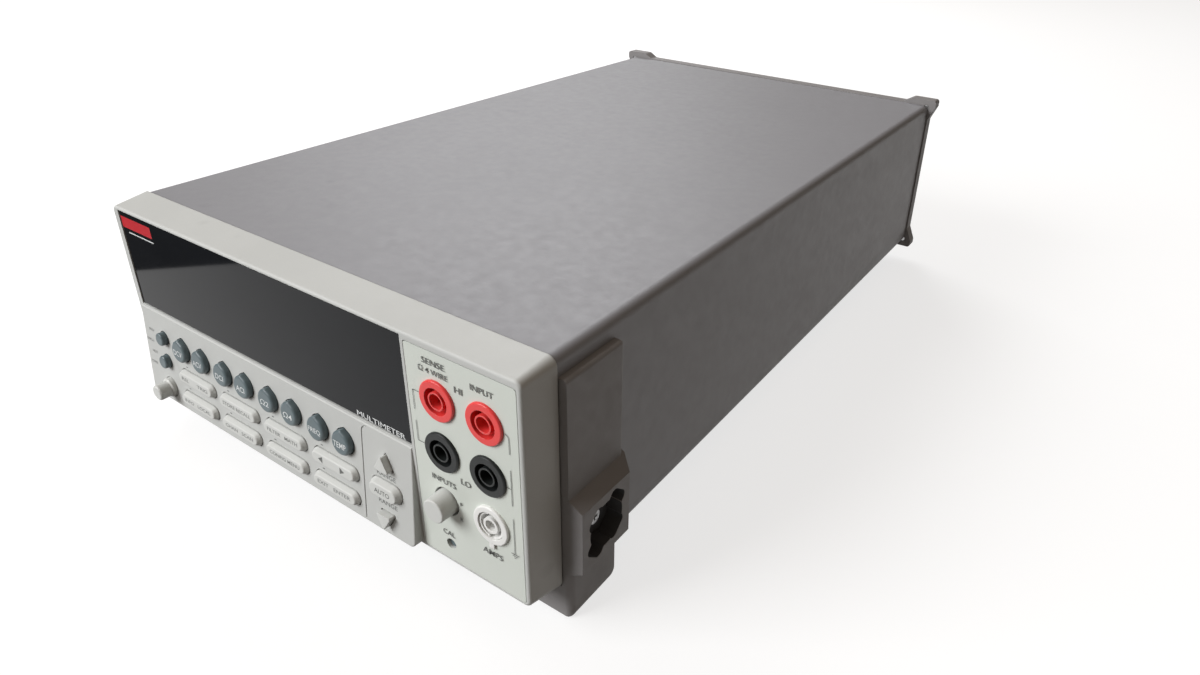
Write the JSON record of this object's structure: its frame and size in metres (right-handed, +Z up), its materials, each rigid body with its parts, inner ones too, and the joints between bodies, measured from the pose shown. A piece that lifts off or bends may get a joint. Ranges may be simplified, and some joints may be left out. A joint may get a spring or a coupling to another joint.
{
  "type": "bench digital multimeter",
  "caption": "Half-rack bench multimeter with a long sheet sleeve, a sloping keypad, a dark display window, a terminal panel with test jacks, side ears for a handle, and moving keys.",
  "frame": {"origin": "centre of the bounding box's base, on the bench under the feet", "axes": "+Z up, -Y out of the front panel, +X to the right of a person at the front panel"},
  "size_m": [0.2302, 0.3798, 0.1046],
  "materials": {
    "bezel_plastic": "fine moulded texture",
    "ear_plastic": "fine moulded texture",
    "overlay_film": "printed film, satin",
    "smoked_lens": "dark polished acrylic",
    "sleeve_paint": "textured powder coat on sheet",
    "panel_paint": "painted sheet",
    "foot_rubber": "matt",
    "mat_rubber": "matt silicone",
    "board": "solder mask over glass fibre",
    "tube_glass": "clear over dark grid",
    "key_plastic": "satin moulded",
    "pale_key_plastic": "satin moulded",
    "rod_plastic": "moulded",
    "red_plastic": "glossy moulded",
    "black_plastic": "moulded",
    "white_plastic": "glossy moulded",
    "contact_brass": "nickel-plated",
    "fuse_glass": "clear tube",
    "connector_metal": "nickel-plated",
    "screw_steel": "zinc-plated",
    "chassis_steel": "zinc-plated sheet",
    "core_iron": "varnished laminations",
    "coil_copper": "enamelled wire under tape"
  },
  "bodies": {
    "case": {"front_bezel": "bezel_plastic", "rear_bezel": "ear_plastic", "right_ear": "ear_plastic", "left_ear": "ear_plastic", "terminal_panel": "overlay_film", "display_lens": "smoked_lens", "case_sleeve": "sleeve_paint", "rear_panel": "panel_paint", "option_cover": "panel_paint", "rear_feet": "foot_rubber", "key_mat": "mat_rubber", "key_board": "board", "display_board": "board", "main_board": "board", "analog_board": "board", "display_tube": "tube_glass", "power_switch": "black_plastic", "inputs_switch": "black_plastic", "red_jacks": "red_plastic", "black_jacks": "black_plastic", "jack_contacts": "contact_brass", "amps_jack": "white_plastic", "mains_inlet": "black_plastic", "mains_pins": "contact_brass", "bus_connector": "connector_metal", "coaxial_sockets": "connector_metal", "cover_screws": "screw_steel", "chassis": "chassis_steel", "board_posts": "screw_steel", "transformer_core": "core_iron", "transformer_coil": "coil_copper"},
    "dc_volts_key": {"dc_volts_key": "key_plastic"},
    "ac_volts_key": {"ac_volts_key": "key_plastic"},
    "dc_current_key": {"dc_current_key": "key_plastic"},
    "ac_current_key": {"ac_current_key": "key_plastic"},
    "two_wire_ohms_key": {"two_wire_ohms_key": "key_plastic"},
    "four_wire_ohms_key": {"four_wire_ohms_key": "key_plastic"},
    "frequency_key": {"frequency_key": "key_plastic"},
    "temperature_key": {"temperature_key": "key_plastic"},
    "previous_key": {"previous_key": "key_plastic"},
    "next_key": {"next_key": "key_plastic"},
    "range_up_key": {"range_up_key": "pale_key_plastic"},
    "range_down_key": {"range_down_key": "pale_key_plastic"},
    "auto_range_key": {"auto_range_key": "pale_key_plastic"},
    "relative_trigger_key": {"relative_trigger_key": "pale_key_plastic"},
    "store_recall_key": {"store_recall_key": "pale_key_plastic"},
    "filter_math_key": {"filter_math_key": "pale_key_plastic"},
    "cursor_key": {"cursor_key": "pale_key_plastic"},
    "info_local_key": {"info_local_key": "pale_key_plastic"},
    "channel_scan_key": {"channel_scan_key": "pale_key_plastic"},
    "config_menu_key": {"config_menu_key": "pale_key_plastic"},
    "exit_enter_key": {"exit_enter_key": "pale_key_plastic"},
    "power_button": {"power_button": "pale_key_plastic", "power_rod": "rod_plastic"},
    "inputs_button": {"inputs_button": "pale_key_plastic"},
    "cal_button": {"cal_button": "key_plastic"},
    "amps_turn": {"amps_spring_cup": "contact_brass"},
    "amps_carrier": {"amps_carrier": "white_plastic", "amps_fuse": "fuse_glass"},
    "fuse_drawer": {"fuse_drawer": "black_plastic"}
  },
  "joints": [
    {"name": "dc_volts_key_press", "type": "slide", "parent": "case", "child": "dc_volts_key", "axis": [0, 0.9962, -0.0872], "range_m": [0, 0.001], "stiffness_N_per_m": 400},
    {"name": "ac_volts_key_press", "type": "slide", "parent": "case", "child": "ac_volts_key", "axis": [0, 0.9962, -0.0872], "range_m": [0, 0.001], "stiffness_N_per_m": 400},
    {"name": "dc_current_key_press", "type": "slide", "parent": "case", "child": "dc_current_key", "axis": [0, 0.9962, -0.0872], "range_m": [0, 0.001], "stiffness_N_per_m": 400},
    {"name": "ac_current_key_press", "type": "slide", "parent": "case", "child": "ac_current_key", "axis": [0, 0.9962, -0.0872], "range_m": [0, 0.001], "stiffness_N_per_m": 400},
    {"name": "two_wire_ohms_key_press", "type": "slide", "parent": "case", "child": "two_wire_ohms_key", "axis": [0, 0.9962, -0.0872], "range_m": [0, 0.001], "stiffness_N_per_m": 400},
    {"name": "four_wire_ohms_key_press", "type": "slide", "parent": "case", "child": "four_wire_ohms_key", "axis": [0, 0.9962, -0.0872], "range_m": [0, 0.001], "stiffness_N_per_m": 400},
    {"name": "frequency_key_press", "type": "slide", "parent": "case", "child": "frequency_key", "axis": [0, 0.9962, -0.0872], "range_m": [0, 0.001], "stiffness_N_per_m": 400},
    {"name": "temperature_key_press", "type": "slide", "parent": "case", "child": "temperature_key", "axis": [0, 0.9962, -0.0872], "range_m": [0, 0.001], "stiffness_N_per_m": 400},
    {"name": "previous_key_press", "type": "slide", "parent": "case", "child": "previous_key", "axis": [0, 0.9962, -0.0872], "range_m": [0, 0.001], "stiffness_N_per_m": 400},
    {"name": "next_key_press", "type": "slide", "parent": "case", "child": "next_key", "axis": [0, 0.9962, -0.0872], "range_m": [0, 0.001], "stiffness_N_per_m": 400},
    {"name": "range_up_key_press", "type": "slide", "parent": "case", "child": "range_up_key", "axis": [0, 0.9962, -0.0872], "range_m": [0, 0.001], "stiffness_N_per_m": 400},
    {"name": "range_down_key_press", "type": "slide", "parent": "case", "child": "range_down_key", "axis": [0, 0.9962, -0.0872], "range_m": [0, 0.001], "stiffness_N_per_m": 400},
    {"name": "auto_range_key_press", "type": "slide", "parent": "case", "child": "auto_range_key", "axis": [0, 0.9962, -0.0872], "range_m": [0, 0.001], "stiffness_N_per_m": 400},
    {"name": "relative_trigger_key_rock", "type": "hinge", "parent": "case", "child": "relative_trigger_key", "pos_m": [-0.0663, -0.17987, 0.03277], "axis": [0, 0.0872, 0.9962], "range_deg": [-3, 3], "stiffness_Nm_per_rad": 0.05},
    {"name": "store_recall_key_rock", "type": "hinge", "parent": "case", "child": "store_recall_key", "pos_m": [-0.03795, -0.17987, 0.03277], "axis": [0, 0.0872, 0.9962], "range_deg": [-3, 3], "stiffness_Nm_per_rad": 0.05},
    {"name": "filter_math_key_rock", "type": "hinge", "parent": "case", "child": "filter_math_key", "pos_m": [-0.0096, -0.17987, 0.03277], "axis": [0, 0.0872, 0.9962], "range_deg": [-3, 3], "stiffness_Nm_per_rad": 0.05},
    {"name": "cursor_key_rock", "type": "hinge", "parent": "case", "child": "cursor_key", "pos_m": [0.01875, -0.17987, 0.03277], "axis": [0, 0.0872, 0.9962], "range_deg": [-3, 3], "stiffness_Nm_per_rad": 0.05},
    {"name": "info_local_key_rock", "type": "hinge", "parent": "case", "child": "info_local_key", "pos_m": [-0.0663, -0.18075, 0.02277], "axis": [0, 0.0872, 0.9962], "range_deg": [-3, 3], "stiffness_Nm_per_rad": 0.05},
    {"name": "channel_scan_key_rock", "type": "hinge", "parent": "case", "child": "channel_scan_key", "pos_m": [-0.03795, -0.18075, 0.02277], "axis": [0, 0.0872, 0.9962], "range_deg": [-3, 3], "stiffness_Nm_per_rad": 0.05},
    {"name": "config_menu_key_rock", "type": "hinge", "parent": "case", "child": "config_menu_key", "pos_m": [-0.0096, -0.18075, 0.02277], "axis": [0, 0.0872, 0.9962], "range_deg": [-3, 3], "stiffness_Nm_per_rad": 0.05},
    {"name": "exit_enter_key_rock", "type": "hinge", "parent": "case", "child": "exit_enter_key", "pos_m": [0.01875, -0.18075, 0.02277], "axis": [0, 0.0872, 0.9962], "range_deg": [-3, 3], "stiffness_Nm_per_rad": 0.05},
    {"name": "power_button_press", "type": "slide", "parent": "case", "child": "power_button", "axis": [0, 1, 0], "range_m": [0, 0.004], "stiffness_N_per_m": 400},
    {"name": "inputs_button_press", "type": "slide", "parent": "case", "child": "inputs_button", "axis": [0, 1, 0], "range_m": [0, 0.0035], "stiffness_N_per_m": 400},
    {"name": "cal_button_press", "type": "slide", "parent": "case", "child": "cal_button", "axis": [0, 1, 0], "range_m": [0, 0.0008], "stiffness_N_per_m": 400},
    {"name": "amps_turn", "type": "hinge", "parent": "case", "child": "amps_turn", "pos_m": [0.09105, -0.16015, 0.0423], "axis": [0, 1, 0], "range_deg": [-45, 0]},
    {"name": "amps_pull", "type": "slide", "parent": "amps_turn", "child": "amps_carrier", "axis": [0, -1, 0], "range_m": [0, 0.03]},
    {"name": "fuse_drawer_slide", "type": "slide", "parent": "case", "child": "fuse_drawer", "axis": [0, 1, 0], "range_m": [0, 0.018]}
  ]
}
